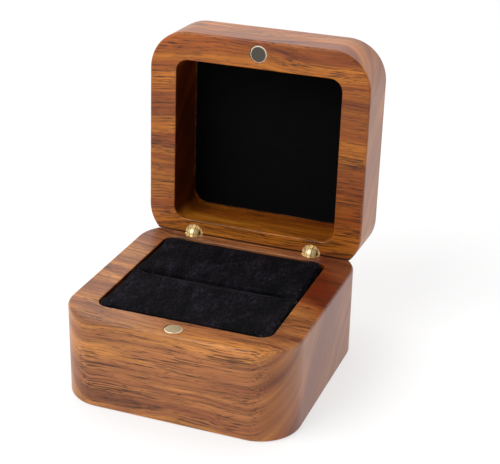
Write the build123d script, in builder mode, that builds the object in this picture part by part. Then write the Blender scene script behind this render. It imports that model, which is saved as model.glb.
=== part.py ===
"""A ring box: a hollowed wooden base with a velvet cushion, and a wooden lid on two barrel hinges.

Millimetres. X runs along the hinge line, +Y to the rear, +Z up. The origin is the centre of the
base's underside. The lid stands open against its bevelled rear edge.
"""

from build123d import *
from math import cos, radians, sin, tan
import os

# Wooden box
box_width = 60.0
box_depth = 59.0
base_height = 24.0
lid_height = 15.0
wall = 7.4
base_floor = 3.0  # wood left under the base's pocket
lid_web = 1.4  # wood left above the lid's hollow
corner_radius = 10.5
hollow_corner_radius = 3.3
far_edge_round = 0.6  # round the underside of the base and the top of the lid
rim_edge_round = 0.6  # round the outside of the mating faces and the rear bevels
hollow_edge_round = 0.3

# How the lid moves
opening_angle = 92.0
closed_gap = 0.15  # between the mating faces when shut
open_gap = 0.25  # between the two rear bevels when open

# Barrel hinges
hinge_spacing = 33.5
barrel_radius = 2.5
barrel_length = 8.0
barrel_groove_depth = 0.15
barrel_groove_width = 0.5
barrel_grooves = 3
barrel_floor = 2.2  # solid metal below the slot
link_thickness = 1.1
link_head_inset = 0.6  # from the barrel's skin to the rim of a head
link_tail_inset = 0.7  # from the rim of a head to the side of its tail
link_gap = 0.05  # side play between one link and the next, and at the slot's walls
bore_clearance = 0.05  # round the heads in the bore they turn in
head_gap = 0.3  # between a head and the bottom of the bore
pivot_pin_radius = 0.55
cross_pin_radius = 0.5
cross_pin_from_tail = 1.4  # from the end of the tail to the pin's middle
cross_pin_recess = 0.1  # its ends lie this far inside the barrel's skin
running_clearance = 0.03
fixed_clearance = 0.01

# Magnets
magnet_radius = 2.3
magnet_height = 2.0
magnet_front_wall = 1.2  # wood between the magnet and the front of the box
magnet_chamfer = 0.3
magnet_recess = 0.05  # below the mating face

# Cushion and lining
seat_clearance = 0.02  # round a barrel or a magnet in its drilled seat
card_thickness = 1.5
cushion_clearance = 0.3  # between the cushion and the wood
cushion_below_rim = 0.5
cushion_slit = 0.5
slit_corner_radius = 0.8
velvet_thickness = 0.6
foam_clearance = 0.1
lining_velvet_thickness = 0.3
lining_card_thickness = 0.5
lining_clearance = 0.5
lining_corner_radius = 4.2

# Worked out from the above
half_gap = closed_gap / 2
bevel_angle = radians(opening_angle / 2)
hinge_line_y = box_depth / 2 - wall / 2
bevel_start_y = hinge_line_y + (half_gap * cos(bevel_angle) - open_gap / 2) / sin(bevel_angle)
hollow_width = box_width - 2 * wall
hollow_depth = box_depth - 2 * wall
magnet_y = magnet_front_wall + magnet_radius - box_depth / 2
link_length = barrel_length - barrel_floor
link_head_radius = barrel_radius - link_head_inset
link_tail_width = 2 * (link_head_radius - link_tail_inset)
cross_pin_depth = link_length - cross_pin_from_tail
link_pitch = link_thickness + link_gap
stack_width = 3 * link_thickness + 2 * link_gap
slot_width = stack_width + 2 * link_gap

# The mating faces, with z into the wood, y to the rear and the box's centre at their origin. Both
# halves are drawn in them as if the box were shut, and the lid's face carries the opening angle.
open_turn = radians(opening_angle)
into_lid = Vector(0, sin(open_turn), cos(open_turn))
lid_rearward = Vector(0, cos(open_turn), -sin(open_turn))
hinge_line = Vector(0, hinge_line_y, base_height + half_gap)
base_face = Plane(origin=(0, 0, base_height), x_dir=(-1, 0, 0), z_dir=(0, 0, -1))
lid_face = Plane(
    origin=hinge_line - lid_rearward * hinge_line_y + into_lid * half_gap,
    x_dir=(1, 0, 0),
    z_dir=into_lid,
)
faces = {"base": base_face, "lid": lid_face}
sides = {"left": -1, "right": 1}


def section_of(frame):
    """The plane across the hinge line: its x is the frame's y, its y the frame's z."""
    return Plane(origin=frame.origin, x_dir=frame.y_dir, z_dir=frame.x_dir)


def hinge_frame(half, side):
    """A half's own directions, with the origin on the hinge line at one hinge's middle."""
    face = faces[half]
    centre = hinge_line + Vector(sides[side] * hinge_spacing / 2, 0, 0)
    return Plane(origin=centre, x_dir=face.x_dir, z_dir=face.z_dir)


def bevel_profile(section, start, reach):
    """The wedge cut from behind the hinge line, from start on the mating face to reach."""
    drop = (reach - start[0]) * tan(bevel_angle)
    with BuildSketch(section) as profile:
        with BuildLine():
            Polyline(start, (reach, start[1]), (reach, start[1] + drop), close=True)
        make_face()
    return profile.sketch


def cushion_outline(plane, side, shrink):
    """One half of the cushion seen from above, its corners rounded as the pocket's are."""
    length = (hollow_depth - cushion_slit) / 2 - cushion_clearance
    with BuildSketch(plane) as outline:
        with Locations((0, side * (cushion_slit + length) / 2)):
            Rectangle(hollow_width - 2 * cushion_clearance, length)
        corners = outline.vertices().sort_by(Axis.Y)
        far, near = (corners[:2], corners[2:]) if side < 0 else (corners[2:], corners[:2])
        fillet(far, radius=hollow_corner_radius - cushion_clearance)
        fillet(near, radius=slit_corner_radius)
        if shrink > 0:
            offset(amount=-shrink, mode=Mode.REPLACE)
    return outline.sketch


def write(piece, name):
    piece.label = name
    export_step(piece, f"parts/{name}.step")


def slope(side, face):
    """How far a side leans between the face's rearward and inward directions, 0 when square."""
    normal = side.normal_at()
    return abs(normal.dot(face.y_dir) * normal.dot(face.z_dir))


def wooden_half(half, height, hollow_height):
    """A block hollowed from its mating face, with its rear bevel and its drilled seats."""
    face = faces[half]
    inward = Axis(face.origin, face.z_dir)
    with BuildPart() as block:
        with BuildSketch(face):
            RectangleRounded(box_width, box_depth, corner_radius)
        extrude(amount=height)
        extrude(
            bevel_profile(section_of(face), (bevel_start_y, 0), box_depth),
            amount=box_width,
            both=True,
            mode=Mode.SUBTRACT,
        )
        levels = block.faces().sort_by(inward)
        slopes = block.faces().sort_by(lambda f: slope(f, face))
        fillet(levels[-1].edges(), radius=far_edge_round)
        hinge_edge = levels[0].edges() & slopes[-1].edges()
        fillet(levels[0].edges() + slopes[-1].edges() - hinge_edge, radius=rim_edge_round)

        with BuildSketch(face):
            RectangleRounded(hollow_width, hollow_depth, hollow_corner_radius)
        extrude(amount=hollow_height, mode=Mode.SUBTRACT)
        mouth = block.faces().filter_by(GeomType.PLANE).sort_by(inward)[0].inner_wires()[0]
        fillet(mouth.edges(), radius=hollow_edge_round)

        with BuildSketch(face):
            with Locations((-hinge_spacing / 2, hinge_line_y), (hinge_spacing / 2, hinge_line_y)):
                Circle(barrel_radius + seat_clearance)
        extrude(amount=barrel_length, mode=Mode.SUBTRACT)
        with BuildSketch(face):
            with Locations((0, magnet_y)):
                Circle(magnet_radius + seat_clearance)
        extrude(amount=magnet_recess + magnet_height, mode=Mode.SUBTRACT)
    return block.part


def disc_magnet(half):
    face = faces[half]
    with BuildPart() as disc:
        with BuildSketch(face.offset(magnet_recess)):
            with Locations((0, magnet_y)):
                Circle(magnet_radius)
        extrude(amount=magnet_height)
        chamfer(disc.edges(), length=magnet_chamfer)
    return disc.part


def hinge_barrel(half, side):
    """A barrel bored for the heads and open behind them, with a slot below that holds the tails."""
    frame = hinge_frame(half, side)
    section = section_of(frame)
    narrow = link_thickness + 2 * fixed_clearance
    head_depth = link_head_radius + head_gap
    with BuildPart() as barrel:
        with BuildSketch(frame.offset(half_gap)):
            Circle(barrel_radius)
        extrude(amount=barrel_length)
        floor = barrel.faces().sort_by(Axis(frame.origin, frame.z_dir))[-1]
        chamfer(floor.edges(), length=barrel_groove_depth)
        for groove in range(barrel_grooves):
            depth = barrel_length - (2 * groove + 2) * barrel_groove_width
            with BuildSketch(frame.offset(half_gap + depth)):
                Circle(barrel_radius)
                Circle(barrel_radius - barrel_groove_depth, mode=Mode.SUBTRACT)
            extrude(amount=barrel_groove_width, mode=Mode.SUBTRACT)
        bevel_start = (bevel_start_y - hinge_line_y, half_gap)
        extrude(
            bevel_profile(section, bevel_start, 2 * barrel_radius),
            amount=barrel_radius,
            both=True,
            mode=Mode.SUBTRACT,
        )
        with BuildSketch(frame):
            Circle(link_head_radius + bore_clearance)
            with Locations((0, barrel_radius)):
                Rectangle(2 * barrel_radius, 2 * barrel_radius)
            Rectangle(slot_width, 4 * barrel_radius, mode=Mode.INTERSECT)
        extrude(amount=head_depth, mode=Mode.SUBTRACT)
        with BuildSketch(frame.offset(head_depth)):
            Rectangle(
                slot_width if half == "base" else narrow,
                link_tail_width + 2 * fixed_clearance,
            )
        extrude(amount=link_length + fixed_clearance - head_depth, mode=Mode.SUBTRACT)
        with BuildSketch(section):
            with Locations((0, cross_pin_depth)):
                Circle(cross_pin_radius + fixed_clearance)
        extrude(amount=barrel_radius, both=True, mode=Mode.SUBTRACT)
    return barrel.part


def hinge_link(half, side, place, pivot_clearance):
    """One slice of a round-ended rod: a head on the pivot and a tail. place counts links in X."""
    frame = hinge_frame(half, side)
    plane = section_of(frame).offset(place * link_pitch - link_thickness / 2)
    with BuildPart(frame) as link:
        Cylinder(
            link_head_radius, link_length, align=(Align.CENTER, Align.CENTER, Align.MIN)
        )
        Box(2 * barrel_radius, link_tail_width, 2 * link_length, mode=Mode.INTERSECT)
        Sphere(link_head_radius)
        with BuildSketch(plane):
            Rectangle(3 * link_length, 3 * link_length)
        extrude(amount=link_thickness, mode=Mode.INTERSECT)
        with BuildSketch(plane):
            Circle(pivot_pin_radius + pivot_clearance)
            with Locations((0, cross_pin_depth)):
                Circle(cross_pin_radius + fixed_clearance)
        extrude(amount=link_thickness, mode=Mode.SUBTRACT)
    return link.part


def hinge_pin(half, side, depth, radius, length):
    with BuildPart() as pin:
        with BuildSketch(section_of(hinge_frame(half, side))):
            with Locations((0, depth)):
                Circle(radius)
        extrude(amount=length / 2, both=True)
    return pin.part


os.makedirs("parts", exist_ok=True)

# The wooden halves and their magnets
write(wooden_half("base", base_height, base_height - base_floor), "base_body")
write(wooden_half("lid", lid_height, lid_height - lid_web), "lid_body")
for half in faces:
    write(disc_magnet(half), f"{half}_magnet")

# The two barrel hinges
cross_pin_length = 2 * (barrel_radius - cross_pin_recess)
for side in sides:
    for half in faces:
        cross_pin = hinge_pin(half, side, cross_pin_depth, cross_pin_radius, cross_pin_length)
        write(hinge_barrel(half, side), f"{side}_{half}_barrel")
        write(cross_pin, f"{side}_{half}_cross_pin")
    write(hinge_link("base", side, -1, fixed_clearance), f"{side}_outer_link_a")
    write(hinge_link("base", side, 1, fixed_clearance), f"{side}_outer_link_b")
    write(hinge_link("lid", side, 0, running_clearance), f"{side}_centre_link")
    write(hinge_pin("base", side, 0, pivot_pin_radius, stack_width), f"{side}_pivot_pin")

# The cushion: a card on the pocket's floor, and two foam blocks in velvet covers
card_plane = Plane.XY.offset(base_floor)
foam_plane = card_plane.offset(card_thickness)
cover_height = base_height - cushion_below_rim - foam_plane.origin.Z
with BuildPart() as cushion_card:
    with BuildSketch(card_plane):
        RectangleRounded(
            hollow_width - 2 * cushion_clearance,
            hollow_depth - 2 * cushion_clearance,
            hollow_corner_radius - cushion_clearance,
        )
    extrude(amount=card_thickness)
write(cushion_card.part, "cushion_card")

for name, side in (("front", -1), ("rear", 1)):
    with BuildPart() as cover:
        extrude(cushion_outline(foam_plane, side, 0), amount=cover_height)
        extrude(
            cushion_outline(foam_plane, side, velvet_thickness),
            amount=cover_height - velvet_thickness,
            mode=Mode.SUBTRACT,
        )
    write(cover.part, f"cushion_{name}_velvet")
    with BuildPart() as foam:
        extrude(
            cushion_outline(foam_plane, side, velvet_thickness + foam_clearance),
            amount=cover_height - velvet_thickness,
        )
    write(foam.part, f"cushion_{name}_foam")

# The lid's lining: velvet on a card, glued to the floor of the hollow
lining_thickness = lining_velvet_thickness + lining_card_thickness
lining_plane = lid_face.offset(lid_height - lid_web - lining_thickness)
layers = (
    ("velvet", lining_plane, lining_velvet_thickness),
    ("card", lining_plane.offset(lining_velvet_thickness), lining_card_thickness),
)
for name, plane, thickness in layers:
    with BuildPart() as layer:
        with BuildSketch(plane):
            RectangleRounded(
                hollow_width - 2 * lining_clearance,
                hollow_depth - 2 * lining_clearance,
                lining_corner_radius,
            )
        extrude(amount=thickness)
    write(layer.part, f"lid_lining_{name}")
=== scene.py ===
# Ring box: the finish and the soft parts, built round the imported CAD.
# Metres. X runs along the hinges, +Y to the rear, Z up. Settings are in mm and degrees.
from math import atan2, radians

import bmesh
import bpy
import mathutils.noise
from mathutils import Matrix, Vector


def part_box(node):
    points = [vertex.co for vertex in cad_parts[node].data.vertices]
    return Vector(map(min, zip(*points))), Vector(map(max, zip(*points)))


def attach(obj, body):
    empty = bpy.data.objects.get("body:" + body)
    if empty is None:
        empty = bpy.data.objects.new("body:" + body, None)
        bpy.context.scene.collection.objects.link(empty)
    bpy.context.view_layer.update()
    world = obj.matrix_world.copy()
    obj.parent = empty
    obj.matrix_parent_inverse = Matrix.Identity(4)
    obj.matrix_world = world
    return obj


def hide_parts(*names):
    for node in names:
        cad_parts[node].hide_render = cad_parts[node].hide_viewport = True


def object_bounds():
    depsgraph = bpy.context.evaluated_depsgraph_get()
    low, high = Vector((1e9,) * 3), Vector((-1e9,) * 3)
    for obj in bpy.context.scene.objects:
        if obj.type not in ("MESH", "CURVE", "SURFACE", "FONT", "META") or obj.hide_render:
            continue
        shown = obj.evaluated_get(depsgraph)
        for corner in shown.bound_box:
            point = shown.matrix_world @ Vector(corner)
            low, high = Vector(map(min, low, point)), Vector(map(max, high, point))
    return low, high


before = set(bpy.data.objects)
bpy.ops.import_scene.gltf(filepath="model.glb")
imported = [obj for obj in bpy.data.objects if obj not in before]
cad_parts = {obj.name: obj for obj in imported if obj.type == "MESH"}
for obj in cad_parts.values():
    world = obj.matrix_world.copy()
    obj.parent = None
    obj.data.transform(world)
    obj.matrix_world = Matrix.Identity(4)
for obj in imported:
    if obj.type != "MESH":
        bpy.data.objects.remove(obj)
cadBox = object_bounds()
mm = 0.001
noiseSpan = (0.3, 0.7)  # most of a noise's values lie between these
print("frame loaded:", len(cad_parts), "nodes")


# Helpers


def colour(code):
    # an sRGB hex value as linear red, green, blue and alpha
    parts = [int(code[i : i + 2], 16) / 255 for i in (0, 2, 4)]
    return [p / 12.92 if p <= 0.04045 else ((p + 0.055) / 1.055) ** 2.4 for p in parts] + [1.0]


def newMaterial(name):
    material = bpy.data.materials.new(name)
    material.use_nodes = True
    tree = material.node_tree
    tree.nodes.clear()
    return material, tree


def addNode(tree, kind, inputs={}, stops=(), **settings):
    # an input that is a node or a socket is linked, and any other is set
    node = tree.nodes.new("ShaderNode" + kind)
    for name, value in settings.items():
        setattr(node, name, value)
    for name, value in inputs.items():
        if isinstance(value, bpy.types.Node):
            value = value.outputs[0]
        if isinstance(value, bpy.types.NodeSocket):
            tree.links.new(value, node.inputs[name])
        else:
            node.inputs[name].default_value = value
    for number, (place, value) in enumerate(stops):
        band = node.color_ramp.elements
        element = band[number] if number < 2 else band.new(1.0)
        element.position = place
        element.color = colour(value) if isinstance(value, str) else [value] * 3 + [1.0]
    return node


def finishMaterial(tree, inputs):
    shader = addNode(tree, "BsdfPrincipled", inputs)
    addNode(tree, "OutputMaterial", {"Surface": shader})


def wear(piece, material):
    piece.data.materials.clear()
    piece.data.materials.append(material)


def deselectAll():
    bpy.ops.object.select_all(action="DESELECT")


def pickEdges(piece, test):
    # in edit mode, select only the edges whose test is true
    bpy.ops.mesh.select_mode(type="EDGE")
    bpy.ops.mesh.select_all(action="DESELECT")
    mesh = bmesh.from_edit_mesh(piece.data)
    for edge in mesh.edges:
        if test(edge):
            edge.select_set(True)
    mesh.select_flush_mode()
    bmesh.update_edit_mesh(piece.data)


def addModifier(piece, kind, **settings):
    modifier = piece.modifiers.new(kind.lower(), kind)
    for name, value in settings.items():
        setattr(modifier, name, value)
    return modifier


def applyModifiers(piece):
    deselectAll()
    piece.select_set(True)
    bpy.context.view_layer.objects.active = piece
    for modifier in list(piece.modifiers):
        bpy.ops.object.modifier_apply(modifier=modifier.name)


# Camera, floor and light
cameraSettings = {
    "place": (108.6, -270.3, 169.4),
    "turn": (65.744, -1.132, 20.737),
    "lens": 93.2,
    "sensorWidth": 36,
    "clipStart": 10,
}
cameraData = bpy.data.cameras.new("camera")
cameraData.sensor_width = cameraSettings["sensorWidth"]
cameraData.lens = cameraSettings["lens"]
cameraData.clip_start = cameraSettings["clipStart"] * mm
camera = bpy.data.objects.new("camera", cameraData)
camera.location = Vector(cameraSettings["place"]) * mm
camera.rotation_euler = [radians(angle) for angle in cameraSettings["turn"]]
bpy.context.scene.collection.objects.link(camera)
bpy.context.scene.camera = camera
bpy.context.scene.view_settings.view_transform = "Standard"

studioSettings = {
    "floor": "AAAAAA",
    "floorRoughness": 0.9,
    "glow": 0.58,  # the floor is a translucent sheet, lit from below, so that shadows stay faint
    "floorSize": 40000,
    "behind": 1.2,  # brightness of the white surround behind the box
    "front": 0.14,  # and in front of it
    "change": (-0.3, 0.3),  # how far towards the back one starts and ends giving way to the other
    "overhead": (0.5, 0.9, 1.3),  # how high it starts to grow, how high it is full, how much it grows
    "horizon": (0.03, 0.09),  # how high the white line round the floor's edge stays full, and ends
    "lights": {
        # direction from the box, distance, size, power in watts
        "key": ((-0.5, -0.66, 0.7), 600, 500, 3.6),
    },
}


def makeFloor(settings):
    bpy.ops.mesh.primitive_plane_add(size=settings["floorSize"] * mm)
    floor = bpy.context.object
    floor.name = "floor"
    paper, tree = newMaterial("white_paper")
    finish = {"Base Color": colour(settings["floor"]), "Roughness": settings["floorRoughness"]}
    finish.update({"Emission Color": colour("FFFFFF"), "Emission Strength": settings["glow"]})
    finishMaterial(tree, finish)
    wear(floor, paper)


def makeSurround(settings):
    world = bpy.data.worlds.new("surround")
    world.use_nodes = True
    tree = world.node_tree
    tree.nodes.clear()
    direction = addNode(tree, "TexCoord").outputs["Generated"]
    towards = addNode(tree, "SeparateXYZ", {"Vector": direction}).outputs
    low, high = settings["change"]
    ahead = {"Value": towards["Y"], "From Min": low, "From Max": high}
    ahead.update({"To Min": settings["front"], "To Max": settings["behind"]})
    level = addNode(tree, "MapRange", ahead)
    full, gone = settings["horizon"]
    line = addNode(tree, "MapRange", {"Value": towards["Z"], "From Min": gone, "From Max": full})
    level = addNode(tree, "Math", {0: level, 1: line}, operation="MAXIMUM")
    low, high, most = settings["overhead"]
    above = {"Value": towards["Z"], "From Min": low, "From Max": high}
    above.update({"To Min": 1.0, "To Max": most})
    growth = addNode(tree, "MapRange", above)
    strength = addNode(tree, "Math", {0: level, 1: growth}, operation="MULTIPLY")
    back = addNode(tree, "Background", {"Color": (1, 1, 1, 1), "Strength": strength})
    addNode(tree, "OutputWorld", {"Surface": back})
    bpy.context.scene.world = world


def makeLights(settings):
    middle = (cadBox[0] + cadBox[1]) / 2
    for name, (towards, distance, size, power) in settings["lights"].items():
        data = bpy.data.lights.new(name, "AREA")
        data.size = size * mm
        data.energy = power
        light = bpy.data.objects.new(name, data)
        light.location = middle + Vector(towards).normalized() * distance * mm
        light.rotation_euler = (middle - light.location).to_track_quat("-Z", "Y").to_euler()
        bpy.context.scene.collection.objects.link(light)


makeFloor(studioSettings)
makeSurround(studioSettings)
makeLights(studioSettings)
print("studio ready")

# Oiled hardwood, sanded and rubbed: rings, streaks and pores run along X through the whole block,
# so they meet at every edge. On the end grain they are soft; outside it is paled, partly as sanded
# haze and partly as painted sheen, and in the hollows it is darkened as painted shade.
woodSettings = {
    "layers": {
        # what it follows, size along and across it in mm, detail, roughness
        "bands": ("rings", 90.0, 3.6, 3, 0.6),
        "lines": ("rings", 30.0, 0.5, 3, 0.65),
        "streaks": ("grain", 13.0, 0.3, 3, 0.6),
        "pores": ("grain", 2.8, 0.2, 1, 0.5),
        "clusters": ("grain", 26.0, 5.0, 2, 0.5),
        "tone": ("block", 30.0, 12.0, 2, 0.5),
    },
    "bundled": 0.5,  # how strongly the clusters gather the streaks into bundles
    "bends": ((38.0, 2.2), (9.0, 0.3)),  # size of each bend in the grain, and how far it reaches
    "bendLength": 1.6,  # how much longer a bend is along the grain than across it
    "bendSwing": 4,  # a noise seldom comes near its ends, so it is stretched to give that reach
    "pith": {"base": (77, -67), "lid": (109.4, -39.4)},  # Y and Z of the middle of the tree
    "lean": {"base": (0, 2.5, 1.5), "lid": (0, 1, 0)},
    # how much of the darker tint there is, by the radius in mm. On the base it is heartwood on the
    # right side, darker there also as painted shade and reflection of the lid; on the lid it is all
    # but a band along the lower rail and the hollow's floor, which is left lighter as painted light
    "heartAndShading": {
        "base": [(90, 0.5), (98, 1.0), (105, 1.0), (112, 0.0)],
        "lid": [(102, 1.0), (104, 0.0), (107, 0.0), (110, 1.0)],
    },
    "heartAndShadingLean": {"base": 0.5, "lid": 0.0},  # mm further out it reaches for each mm to the right
    "heartAndShadingSide": {"base": (15, 21), "lid": (-90, -80)},  # X where it starts, and where it is full
    "heartAndShadingTint": {"base": "B87A55", "lid": "EBDACD"},
    "endGrain": (0.15, 0.75),  # how far a face turns to X as its grain comes to be seen end on
    "endContrast": 0.1,
    "endTint": 0.4,  # how much further than the first it has turned as the paling outside and the painted shade in the hollows start to show
    "endHazeAndSheen": (0.36, "A67C68"),  # how far, and to what, the end grain outside is paled: partly sanded haze, partly painted sheen
    "endShade": "8E6E5C",  # in the hollows the end grain is darkened: painted shade
    "outside": (0.6, 1.2),  # mm past the lining's card where the hollows end and outside starts
    "hingeGapShade": (0.15, 0.5, "4A2E1C"),  # mm from where lid and base meet, a dark line of painted shade in the gap
    "base": {"gold": "B97739", "pale": "A16437", "mid": "8C522D", "red": "733D24"},
    "lid": {"gold": "C07A22", "pale": "A86219", "mid": "955116", "red": "7A3910"},
    # the colours and shades at each height of a layer
    "bandTints": [(0.3, "red"), (0.42, "mid"), (0.52, "pale"), (0.6, "gold"), (0.72, "mid")],
    "lineShades": [(0.32, 0.5), (0.5, 1.0), (0.68, 1.25)],
    "toneShades": [(0.3, 0.76), (0.7, 1.24)],
    "marks": {
        # colour, and how much of it there is at each height of its layer
        "streaks": ("401D09", [(0.6, 0.9), (0.7, 0.0)]),
        "pores": ("2A1205", [(0.28, 0.7), (0.38, 0.0)]),
    },
    "roughness": (0.3, 0.42),
    "ior": 1.4,
    "relief": (0.3, 0.04),  # strength, and depth in mm, of the lines and pores
}


def followTrunk(tree, block, part, settings):
    # the trunk isn't straight: its grain sways and ripples, and its rings lie round the pith
    grain = block
    stretch = settings["bendLength"]
    for size, reach in settings["bends"]:
        bend = {0: block, 1: [stretch * size, size, size]}
        bend = addNode(tree, "VectorMath", bend, operation="DIVIDE")
        bend = addNode(tree, "TexNoise", {"Vector": bend, "Scale": 1.0, "Detail": 1})
        bend = {0: bend.outputs["Color"], 1: (0.5, 0.5, 0.5)}
        bend = addNode(tree, "VectorMath", bend, operation="SUBTRACT")
        swing = reach * settings["bendSwing"]
        bend = {0: bend, 1: (0, swing, swing), 2: grain}
        grain = addNode(tree, "VectorMath", bend, operation="MULTIPLY_ADD")
    fromPith = {0: grain, 1: (0, *settings["pith"][part])}
    fromPith = addNode(tree, "VectorMath", fromPith, operation="SUBTRACT")
    fromPith = addNode(tree, "VectorMath", {0: fromPith, 1: (0, 1, 1)}, operation="MULTIPLY")
    radius = addNode(tree, "VectorMath", {0: fromPith}, operation="LENGTH").outputs["Value"]
    along = addNode(tree, "SeparateXYZ", {"Vector": grain}).outputs["X"]
    return grain, along, radius


def woodLayers(tree, followed, settings):
    layer = {}
    for name, (source, length, width, detail, rough) in settings["layers"].items():
        shape = {0: followed[source], 1: (length, width, width)}
        shape = addNode(tree, "VectorMath", shape, operation="DIVIDE")
        shape = {"Vector": shape, "Scale": 1.0, "Detail": detail, "Roughness": rough}
        layer[name] = addNode(tree, "TexNoise", shape)
    return layer


def woodBody(tree, layer, shown, part, settings):
    tints = [(place, settings[part][name]) for place, name in settings["bandTints"]]
    body = addNode(tree, "ValToRGB", {"Fac": layer["bands"]}, stops=tints)
    fine = addNode(tree, "ValToRGB", {"Fac": layer["lines"]}, stops=settings["lineShades"])
    shade = {"Fac": shown, "Color1": body, "Color2": fine}
    shade = addNode(tree, "MixRGB", shade, blend_type="MULTIPLY")
    broad = addNode(tree, "ValToRGB", {"Fac": layer["tone"]}, stops=settings["toneShades"])
    shade = {"Fac": 1.0, "Color1": shade, "Color2": broad}
    return addNode(tree, "MixRGB", shade, blend_type="MULTIPLY")


def tintHeartAndShading(tree, shade, along, radius, part, settings):
    # a tint by radius and side: heartwood and painted shade on the base's right, and on the lid all
    # but a band along its lower rail, which stays lighter as painted light
    heartAndShading = {0: along, 1: -settings["heartAndShadingLean"][part], 2: radius}
    heartAndShading = addNode(tree, "Math", heartAndShading, operation="MULTIPLY_ADD")
    # a colour ramp ends at 1, so the radius goes in as a share of twice the last one
    reach = 2 * settings["heartAndShading"][part][-1][0]
    heartAndShading = addNode(tree, "Math", {0: heartAndShading, 1: reach}, operation="DIVIDE")
    stops = [(place / reach, amount) for place, amount in settings["heartAndShading"][part]]
    heartAndShading = addNode(tree, "ValToRGB", {"Fac": heartAndShading}, stops=stops)
    low, high = settings["heartAndShadingSide"][part]
    side = addNode(tree, "MapRange", {"Value": along, "From Min": low, "From Max": high})
    heartAndShading = addNode(tree, "Math", {0: heartAndShading, 1: side}, operation="MULTIPLY")
    shade = {"Fac": heartAndShading, "Color1": shade, "Color2": colour(settings["heartAndShadingTint"][part])}
    return addNode(tree, "MixRGB", shade, blend_type="MULTIPLY")


def tintEnds(tree, shade, place, facing, settings):
    end = {"Value": facing, "From Min": settings["endGrain"][0] + settings["endTint"]}
    end = addNode(tree, "MapRange", end, interpolation_type="SMOOTHSTEP")
    outside = addNode(tree, "SeparateXYZ", {"Vector": place}).outputs["X"]
    outside = addNode(tree, "Math", {0: outside}, operation="ABSOLUTE")
    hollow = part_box("lid_lining_card")[1][0]
    low, high = (hollow + past * mm for past in settings["outside"])
    outside = addNode(tree, "MapRange", {"Value": outside, "From Min": low, "From Max": high})
    # outside, the end grain is paled, partly as sanded haze and partly as painted sheen; in the
    # hollows it is darkened as painted shade
    haze, tint = settings["endHazeAndSheen"]
    hazeAndSheen = addNode(tree, "Math", {0: end, 1: outside}, operation="MULTIPLY")
    shadedEnds = addNode(tree, "Math", {0: end, 1: hazeAndSheen}, operation="SUBTRACT")
    hazeAndSheen = addNode(tree, "Math", {0: hazeAndSheen, 1: haze}, operation="MULTIPLY")
    shade = addNode(tree, "MixRGB", {"Fac": hazeAndSheen, "Color1": shade, "Color2": colour(tint)})
    shade = {"Fac": shadedEnds, "Color1": shade, "Color2": colour(settings["endShade"])}
    return addNode(tree, "MixRGB", shade, blend_type="MULTIPLY")


def paintHingeGapShade(tree, shade, place, settings):
    # a dark line along where lid and base meet: painted shade of the gap
    full, gone, tint = settings["hingeGapShade"]
    meeting = (0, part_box("lid_body")[0][1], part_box("base_body")[1][2])
    line = addNode(tree, "VectorMath", {0: place, 1: meeting}, operation="SUBTRACT")
    line = addNode(tree, "VectorMath", {0: line, 1: (0, 1, 1)}, operation="MULTIPLY")
    line = addNode(tree, "VectorMath", {0: line}, operation="LENGTH").outputs["Value"]
    line = {"Value": line, "From Min": gone * mm, "From Max": full * mm}
    line = addNode(tree, "MapRange", line)
    shade = {"Fac": line, "Color1": shade, "Color2": colour(tint)}
    return addNode(tree, "MixRGB", shade, blend_type="MULTIPLY")


def woodMaterial(part, settings):
    material, tree = newMaterial("oiled_hardwood_" + part)
    coordinates = addNode(tree, "TexCoord").outputs
    lean = [radians(angle) for angle in settings["lean"][part]]
    inMm = {"Vector": coordinates["Object"], "Rotation": lean, "Scale": (1000, 1000, 1000)}
    block = addNode(tree, "Mapping", inMm)
    grain, along, radius = followTrunk(tree, block, part, settings)
    rings = addNode(tree, "CombineXYZ", {"X": along, "Y": radius})
    layer = woodLayers(tree, {"rings": rings, "grain": grain, "block": block}, settings)

    # how much of the grain shows: all of it on the long sides, little on the end grain
    facing = addNode(tree, "SeparateXYZ", {"Vector": coordinates["Normal"]}).outputs["X"]
    facing = addNode(tree, "Math", {0: facing}, operation="ABSOLUTE")
    low, high = settings["endGrain"]
    shown = {"Value": facing, "From Min": low, "From Max": high}
    shown.update({"To Min": 1.0, "To Max": settings["endContrast"]})
    shown = addNode(tree, "MapRange", shown, interpolation_type="SMOOTHSTEP")

    shade = woodBody(tree, layer, shown, part, settings)
    shade = tintHeartAndShading(tree, shade, along, radius, part, settings)
    shade = tintEnds(tree, shade, coordinates["Object"], facing, settings)
    shade = paintHingeGapShade(tree, shade, coordinates["Object"], settings)
    gathered = {0: layer["clusters"], 1: settings["bundled"], 2: layer["streaks"]}
    layer["streaks"] = addNode(tree, "Math", gathered, operation="MULTIPLY_ADD")
    for name, (tint, stops) in settings["marks"].items():
        mark = addNode(tree, "ValToRGB", {"Fac": layer[name]}, stops=stops)
        mark = addNode(tree, "Math", {0: mark, 1: shown}, operation="MULTIPLY")
        shade = addNode(tree, "MixRGB", {"Fac": mark, "Color1": shade, "Color2": colour(tint)})

    # dark lines are a little rougher, and they and the pores, the last mark, are sunken
    least, most = noiseSpan
    low, high = settings["roughness"]
    gloss = {"Value": layer["lines"], "From Min": least, "From Max": most}
    gloss.update({"To Min": high, "To Max": low})
    gloss = addNode(tree, "MapRange", gloss)
    relief = addNode(tree, "Math", {0: layer["lines"], 1: 0.5}, operation="MULTIPLY")
    relief = addNode(tree, "Math", {0: relief, 1: mark}, operation="SUBTRACT")
    strength, depth = settings["relief"]
    relief = {"Height": relief, "Strength": strength, "Distance": depth * mm}
    relief = addNode(tree, "Bump", relief)
    finish = {"Base Color": shade, "Roughness": gloss, "IOR": settings["ior"], "Normal": relief}
    finishMaterial(tree, finish)
    return material


baseWood = woodMaterial("base", woodSettings)
lidWood = woodMaterial("lid", woodSettings)

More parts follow.
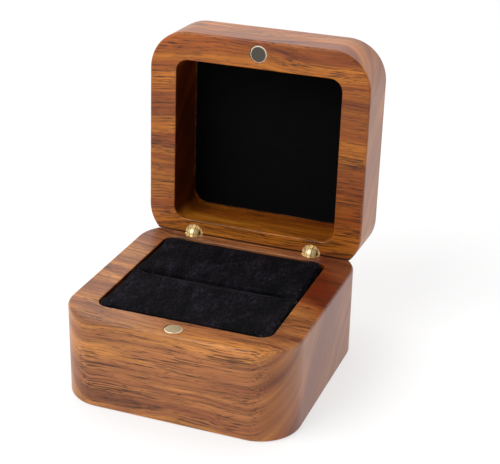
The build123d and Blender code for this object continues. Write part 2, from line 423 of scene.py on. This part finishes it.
# Black velvet: short dense pile that swallows light and shows a dim violet bloom at a low angle.
# The pile's tufts are drawn about twice as coarse as real ones, so that they show.
velvetSettings = {
    "cushion": {
        "pile": "010101",
        "mid": "040405",
        "lit": "302935",
        "edgeSheen": "453F4C",
        "sheen": 0.05,
        "brushed": 0.5,
    },
    # the lining is the same velvet as the cushion, drawn darker as painted shade, since it faces the
    # dim front
    "lining": {
        "pile": "020203",
        "mid": "050506",
        "lit": "0B090D",
        "edgeSheen": "0B090D",
        "sheen": 0.045,
        "brushed": 0.3,
    },
    "heights": {"pile": 0.28, "mid": 0.5, "lit": 0.82},  # of the tufts that have each colour
    "bloom": "8A7F96",
    "bloomRoughness": 0.35,
    "gloss": 0.1,
    "relief": (0.3, 0.1),  # strength, and depth in mm, of the tufts
    "edge": (0.52, 0.6),  # how sharp an edge is where the painted sheen on edges starts to show and is full
    "tuft": (0.25, 1.6),  # mm across and along the nap
    "patch": (3.6, 8.0),  # where a hand has brushed it
    "patchShade": 0.4,  # how much lighter or darker that makes it for each whole of "brushed"
}


def velvetMaterial(part, settings):
    material, tree = newMaterial("black_velvet_" + part)
    own = settings[part]
    place = addNode(tree, "TexCoord").outputs["Object"]
    layer = {}
    for name in ("tuft", "patch"):
        across, along = (1 / (size * mm) for size in settings[name])
        shape = addNode(tree, "Mapping", {"Vector": place, "Scale": (across, along, across)})
        shape = {"Vector": shape, "Scale": 1.0, "Detail": 3, "Roughness": 0.65}
        layer[name] = addNode(tree, "TexNoise", shape)
    least, most = noiseSpan
    patch = {"Value": layer["patch"], "From Min": least, "From Max": most}
    change = settings["patchShade"] * own["brushed"]
    patch.update({"To Min": 1 - change, "To Max": 1 + change})
    patch = addNode(tree, "MapRange", patch)
    height = addNode(tree, "Math", {0: layer["tuft"], 1: patch}, operation="MULTIPLY")
    tints = [(height, own[name]) for name, height in settings["heights"].items()]
    shade = addNode(tree, "ValToRGB", {"Fac": height}, stops=tints)
    # sharp convex edges are lightened: painted sheen, as if the pile caught the light there
    sharp = addNode(tree, "NewGeometry").outputs["Pointiness"]
    low, high = settings["edge"]
    edgeSheen = addNode(tree, "MapRange", {"Value": sharp, "From Min": low, "From Max": high})
    edgeSheen = addNode(tree, "Math", {0: edgeSheen, 1: layer["tuft"]}, operation="MULTIPLY")
    shade = {"Fac": edgeSheen, "Color1": shade, "Color2": colour(own["edgeSheen"])}
    shade = addNode(tree, "MixRGB", shade)
    strength, depth = settings["relief"]
    nap = {"Height": layer["tuft"], "Strength": strength, "Distance": depth * mm}
    nap = addNode(tree, "Bump", nap)
    finish = {"Base Color": shade, "Roughness": 1.0, "Normal": nap}
    finish.update({"Specular IOR Level": settings["gloss"], "Sheen Weight": own["sheen"]})
    finish.update({"Sheen Roughness": settings["bloomRoughness"]})
    finish.update({"Sheen Tint": colour(settings["bloom"])})
    finishMaterial(tree, finish)
    return material


cushionVelvet = velvetMaterial("cushion", velvetSettings)
liningVelvet = velvetMaterial("lining", velvetSettings)

# Turned and slotted brass, tumbled to a satin: warm and pale, with soft wide highlights. The seams
# between the leaves of a hinge are darkened: painted shade of the gaps there.
brassSettings = {
    "tint": "F6E0AE",
    "seamShade": "8C6A30",
    "seam": (0.03, 0.12),  # mm from the seam where the painted shade starts to fade and ends
    "roughness": (0.48, 0.6),
    "grain": 0.35,
}


def brassMaterial(settings):
    material, tree = newMaterial("tumbled_brass")
    place = addNode(tree, "TexCoord").outputs["Object"]
    grain = addNode(tree, "TexNoise", {"Vector": place, "Scale": 1 / (settings["grain"] * mm)})
    low, high = settings["roughness"]
    gloss = addNode(tree, "MapRange", {"Value": grain, "To Min": low, "To Max": high})
    # the leaves stand side by side along X, alike in both hinges
    leaves = [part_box("right_" + leaf) for leaf in ("centre_link", "outer_link_a")]
    first, second = ((low[0] + high[0]) / 2 for low, high in leaves)
    halfPitch = abs(second - first) / 2
    across = addNode(tree, "SeparateXYZ", {"Vector": place}).outputs["X"]
    across = addNode(tree, "Math", {0: across}, operation="ABSOLUTE")
    across = addNode(tree, "Math", {0: across, 1: abs(first)}, operation="SUBTRACT")
    across = addNode(tree, "Math", {0: across, 1: halfPitch}, operation="PINGPONG")
    # the seams between the leaves are darkened: painted shade of the gaps there
    inSeam, clear = (halfPitch - width * mm for width in settings["seam"])
    seam = addNode(tree, "MapRange", {"Value": across, "From Min": clear, "From Max": inSeam})
    tint = {"Fac": seam, "Color1": colour(settings["tint"]), "Color2": colour(settings["seamShade"])}
    tint = addNode(tree, "MixRGB", tint)
    finishMaterial(tree, {"Base Color": tint, "Metallic": 1.0, "Roughness": gloss})
    return material


# Nickel-plated disc magnets, dulled by handling: the face is satin. The pale matt ring round the edge
# is a painted highlight on the chamfer, and the two faces' colours are painted reflection.
magnetSettings = {
    # painted reflection: the base magnet's face, facing up, is drawn pale, and the lid magnet's,
    # facing the front, dark
    "face": {"base_magnet": "E2D4AC", "lid_magnet": "504C45"},
    "edge": "FFF4DC",
    "edgeWidth": 0.36,
    "edgeFade": 0.3,  # the share of that width over which the face gives way to the painted ring
    "roughness": (0.27, 0.41),
    "grain": 0.4,
}


def magnetMaterial(name, settings):
    material, tree = newMaterial("nickel_plate_" + name)
    low, high = (Vector(corner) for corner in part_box(name))
    place = addNode(tree, "TexCoord").outputs["Object"]
    flat = (1, 1, 0) if high.z - low.z < high.x - low.x else (1, 0, 1)
    out = addNode(tree, "VectorMath", {0: place, 1: (low + high) / 2}, operation="SUBTRACT")
    out = addNode(tree, "VectorMath", {0: out, 1: flat}, operation="MULTIPLY")
    out = addNode(tree, "VectorMath", {0: out}, operation="LENGTH").outputs["Value"]
    radius = (high.x - low.x) / 2
    inner = radius - settings["edgeWidth"] * mm
    outer = inner + settings["edgeFade"] * (radius - inner)
    # a pale, unmetallic ring round the edge: a painted highlight on the chamfer
    ringHighlight = {"Value": out, "From Min": inner, "From Max": outer}
    metalFace = addNode(tree, "MapRange", {**ringHighlight, "To Min": 1.0, "To Max": 0.0})
    ringHighlight = addNode(tree, "MapRange", ringHighlight)
    edge = colour(settings["edge"])
    tint = {"Fac": ringHighlight, "Color1": colour(settings["face"][name]), "Color2": edge}
    tint = addNode(tree, "MixRGB", tint)
    grain = {"Vector": place, "Scale": 1 / (settings["grain"] * mm), "Detail": 3}
    grain = addNode(tree, "TexNoise", grain)
    low, high = settings["roughness"]
    gloss = addNode(tree, "MapRange", {"Value": grain, "To Min": low, "To Max": high})
    finishMaterial(tree, {"Base Color": tint, "Metallic": metalFace, "Roughness": gloss})
    return material


# Grey board: pressed waste paper, matt, with flecks and short fibres
boardSettings = {
    "tints": [(0.3, "57514A"), (0.65, "857D6F")],  # at each height of its fibres
    "fibre": (0.25, 1.6),  # mm across and along
    "relief": (0.2, 0.05),  # strength, and depth in mm, of the fibres
    "roughness": 0.9,
}


def boardMaterial(settings):
    material, tree = newMaterial("grey_board")
    place = addNode(tree, "TexCoord").outputs["Object"]
    across, along = (1 / (size * mm) for size in settings["fibre"])
    fibres = addNode(tree, "Mapping", {"Vector": place, "Scale": (along, across, across)})
    fibres = {"Vector": fibres, "Scale": 1.0, "Detail": 3, "Distortion": 0.6}
    fibres = addNode(tree, "TexNoise", fibres)
    shade = addNode(tree, "ValToRGB", {"Fac": fibres}, stops=settings["tints"])
    strength, depth = settings["relief"]
    nap = addNode(tree, "Bump", {"Height": fibres, "Strength": strength, "Distance": depth * mm})
    finish = {"Base Color": shade, "Roughness": settings["roughness"], "Normal": nap}
    finishMaterial(tree, finish)
    return material


brass = brassMaterial(brassSettings)
board = boardMaterial(boardSettings)

for name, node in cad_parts.items():
    if name == "base_body":
        wear(node, baseWood)
    elif name == "lid_body":
        wear(node, lidWood)
    elif name.endswith("magnet"):
        wear(node, magnetMaterial(name, magnetSettings))
    elif name.endswith("velvet"):
        wear(node, cushionVelvet)
    elif name.endswith("card") or name.endswith("foam"):
        wear(node, board)
    else:
        wear(node, brass)
print("materials ready")

# The cushion: two velvet-covered foam halves, side by side in the pocket, with the ring's slit
# between them
cushionSettings = {
    "enlarge": 10,  # the cloth is worked at ten times its size, where its solver is steady
    # size in mm of each round, and its segments
    "cornerRound": (2.8, 8),
    "slitCornerRound": (1.2, 4),
    "topRound": (0.4, 6),  # where the top turns down to the sides
    "rise": 1.2,  # mm the top starts above the foam's own height
    "crown": (0.45, 0.9),  # mm its edges and its middle end up above the foam's height
    "crownPower": 4,  # the higher, the flatter its top and the steeper its fall at the edges
    "voxel": 0.6,
    "glued": 2,  # mm of its sides, from the bottom, that are glued down
    "cloth": {
        "quality": 6,
        "mass": 0.3,
        "tension_stiffness": 15,
        "compression_stiffness": 15,
        "bending_stiffness": 0.5,
        "use_pressure": True,
        "uniform_pressure_force": 30.0,
    },
    "steps": 20,
    "swell": 1.1,  # mm that any point may move as the cover fills
    "spread": 1.02,  # how much wider the filled cover would be with no wood round it
    "room": 0.25,  # mm past the foam's sides before it presses on the wood
    "nap": (1.6, 0.16),  # size and height in mm of the unevenness of the pile
    "halves": {
        # name, CAD nodes it stands for, which way its slit side faces, how far the crown falls
        # away to the slit, mm off its right side
        "cushionFront": ("cushion_front", 1, 0.0, 0.0),
        "cushionRear": ("cushion_rear", -1, 1.0, 0.8),
    },
}


def blockCushion(name, low, high, slitSide, settings):
    # a box with rounded corners, remeshed so that it can be filled
    enlarge = settings["enlarge"]
    unit = enlarge * mm
    deselectAll()
    bpy.ops.mesh.primitive_cube_add(size=1, location=(low + high) / 2 * enlarge)
    piece = bpy.context.object
    piece.name = name
    piece.scale = (high - low) * enlarge
    bpy.ops.object.transform_apply(location=True, rotation=False, scale=True)
    slitY = (high.y if slitSide > 0 else low.y) * enlarge
    top = high.z * enlarge

    def upright(edge):
        return abs(edge.verts[0].co.z - edge.verts[1].co.z) > unit

    def uprightAtSlit(edge):
        return upright(edge) and abs(edge.verts[0].co.y - slitY) < unit

    def uprightElsewhere(edge):
        return upright(edge) and not uprightAtSlit(edge)

    def atTop(edge):
        return all(abs(vert.co.z - top) < 0.1 * unit for vert in edge.verts)

    bpy.ops.object.mode_set(mode="EDIT")
    rounds = {
        "cornerRound": uprightElsewhere,
        "slitCornerRound": uprightAtSlit,
        "topRound": atTop,
    }
    for kind, test in rounds.items():
        size, segments = settings[kind]
        pickEdges(piece, test)
        bpy.ops.mesh.bevel(offset=size * unit, segments=segments, affect="EDGES")
    bpy.ops.object.mode_set(mode="OBJECT")
    addModifier(piece, "REMESH", mode="VOXEL", voxel_size=settings["voxel"] * unit)
    applyModifiers(piece)
    return piece


def fillCushion(piece, bottom, unit, settings):
    # the cover is glued down below and filled till it crowns
    glued = piece.vertex_groups.new(name="glued")
    height = bottom + settings["glued"] * unit
    below = [vert.index for vert in piece.data.vertices if vert.co.z < height]
    glued.add(below, 1.0, "REPLACE")
    cloth = addModifier(piece, "CLOTH")
    for name, value in settings["cloth"].items():
        setattr(cloth.settings, name, value)
    cloth.settings.vertex_group_mass = "glued"
    cloth.settings.effector_weights.gravity = 0
    cloth.collision_settings.use_collision = False
    for step in range(settings["steps"]):
        bpy.context.scene.frame_set(step + 1)
    applyModifiers(piece)
    bpy.context.scene.frame_set(1)


def pressCushion(piece, start, low, high, falls, unit, settings):
    # no point moves far, the wood stops the sides, and the top keeps a low crown
    middle = (low + high) / 2
    reach = (high - low) / 2
    room = settings["room"] * unit
    edge, centre = (high.z + (lift - settings["rise"]) * unit for lift in settings["crown"])
    power = settings["crownPower"]
    for vert, before in zip(piece.data.vertices, start):
        move = vert.co - before
        if move.length > settings["swell"] * unit:
            move.length = settings["swell"] * unit
        place = before + move
        for axis in range(2):
            across = (place[axis] - middle[axis]) * settings["spread"]
            limit = reach[axis] + room
            place[axis] = middle[axis] + min(max(across, -limit), limit)
        out = [min(abs(place[axis] - middle[axis]) / reach[axis], 1) for axis in range(2)]
        out[1] *= falls[1 if place.y > middle.y else -1]
        crown = edge + (centre - edge) * (1 - out[0] ** power) * (1 - out[1] ** power)
        place.z = max(min(place.z, crown), low.z)
        vert.co = place


def makeCushion(name, nodes, slitSide, slitFall, offRight, settings):
    low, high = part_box(nodes + "_velvet")
    high = Vector((high[0] - offRight * mm, high[1], high[2] + settings["rise"] * mm))
    low = Vector(low)
    enlarge = settings["enlarge"]
    unit = enlarge * mm
    piece = blockCushion(name, low, high, slitSide, settings)
    start = [vert.co.copy() for vert in piece.data.vertices]
    fillCushion(piece, low.z * enlarge, unit, settings)
    falls = {slitSide: slitFall, -slitSide: 1.0}
    pressCushion(piece, start, low * enlarge, high * enlarge, falls, unit, settings)

    nap = bpy.data.textures.new(name + "Nap", "CLOUDS")
    size, height = settings["nap"]
    nap.noise_scale = size * unit
    nap.noise_depth = 3
    addModifier(piece, "SUBSURF", levels=1, render_levels=1)
    addModifier(piece, "DISPLACE", texture=nap, strength=height * unit, mid_level=0.5)
    applyModifiers(piece)
    piece.scale = [1 / enlarge] * 3
    bpy.ops.object.transform_apply(location=True, rotation=True, scale=True)
    bpy.ops.object.shade_smooth()
    wear(piece, cushionVelvet)
    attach(piece, "base")
    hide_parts(nodes + "_velvet", nodes + "_foam")
    print(name, "made:", len(piece.data.polygons), "faces")


for name, (nodes, slitSide, slitFall, offRight) in cushionSettings["halves"].items():
    makeCushion(name, nodes, slitSide, slitFall, offRight, cushionSettings)

# The lid's lining: velvet stretched over a card and glued to the bottom of the hollow
liningSettings = {
    "width": 44.2,
    "depth": 43.2,
    "cells": 60,
    "cornerRound": 4.2,
    "thickness": 0.28,
    "edgeWave": (2.2, 0.16),  # size in mm of the waves along its cut edge, and their reach
    "dip": (9.0, 0.12),  # size and depth of the hollows in its face
    "smoothAngle": 40,
}


def shapeLining(piece, settings):
    # round corners, a wavy cut edge and shallow dips, in a flat grid
    waveSize, waveReach = settings["edgeWave"]
    dipSize, dipDepth = settings["dip"]
    half = Vector((settings["width"], settings["depth"])) / 2
    cornerRound = settings["cornerRound"]
    for vert in piece.data.vertices:
        flat = vert.co.xy / mm
        atEdge = max(abs(flat.x) / half.x, abs(flat.y) / half.y) > 0.999
        beyond = Vector([abs(flat[i]) - half[i] + cornerRound for i in range(2)])
        if min(beyond) > 0:
            # the grid's square corner is drawn in to a round one
            pull = beyond * (1 - max(beyond) / beyond.length)
            flat -= Vector([pull[i] * (1 if flat[i] > 0 else -1) for i in range(2)])
        if atEdge:
            wave = mathutils.noise.noise(Vector((*flat, 0)) / waveSize)
            flat -= flat.normalized() * waveReach * (0.5 + wave)
        # the dips are read from another level of the noise than the waves
        dip = mathutils.noise.noise(Vector((*flat, 5)) / dipSize) * dipDepth
        vert.co = Vector((*flat, dip)) * mm


def makeLining(settings):
    # the front face of the CAD's velvet gives the place and the lean
    front = [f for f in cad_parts["lid_lining_velvet"].data.polygons if f.normal.y < -0.9]
    area = sum(face.area for face in front)
    facing = sum((face.normal * face.area for face in front), Vector()) / area
    middle = sum((face.center * face.area for face in front), Vector()) / area
    deselectAll()
    cells = settings["cells"]
    bpy.ops.mesh.primitive_grid_add(x_subdivisions=cells, y_subdivisions=cells, size=1)
    piece = bpy.context.object
    piece.name = "liningVelvet"
    piece.scale = (settings["width"] * mm, settings["depth"] * mm, 1)
    bpy.ops.object.transform_apply(location=False, rotation=False, scale=True)
    shapeLining(piece, settings)
    addModifier(piece, "SOLIDIFY", thickness=settings["thickness"] * mm, offset=-1)
    applyModifiers(piece)
    piece.rotation_euler = (atan2(-facing.y, facing.z), 0, 0)
    piece.location = middle
    bpy.ops.object.transform_apply(location=True, rotation=True, scale=True)
    bpy.ops.object.shade_smooth_by_angle(angle=radians(settings["smoothAngle"]))
    wear(piece, liningVelvet)
    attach(piece, "lid")
    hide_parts("lid_lining_velvet")
    print("liningVelvet made:", len(piece.data.polygons), "faces")


makeLining(liningSettings)
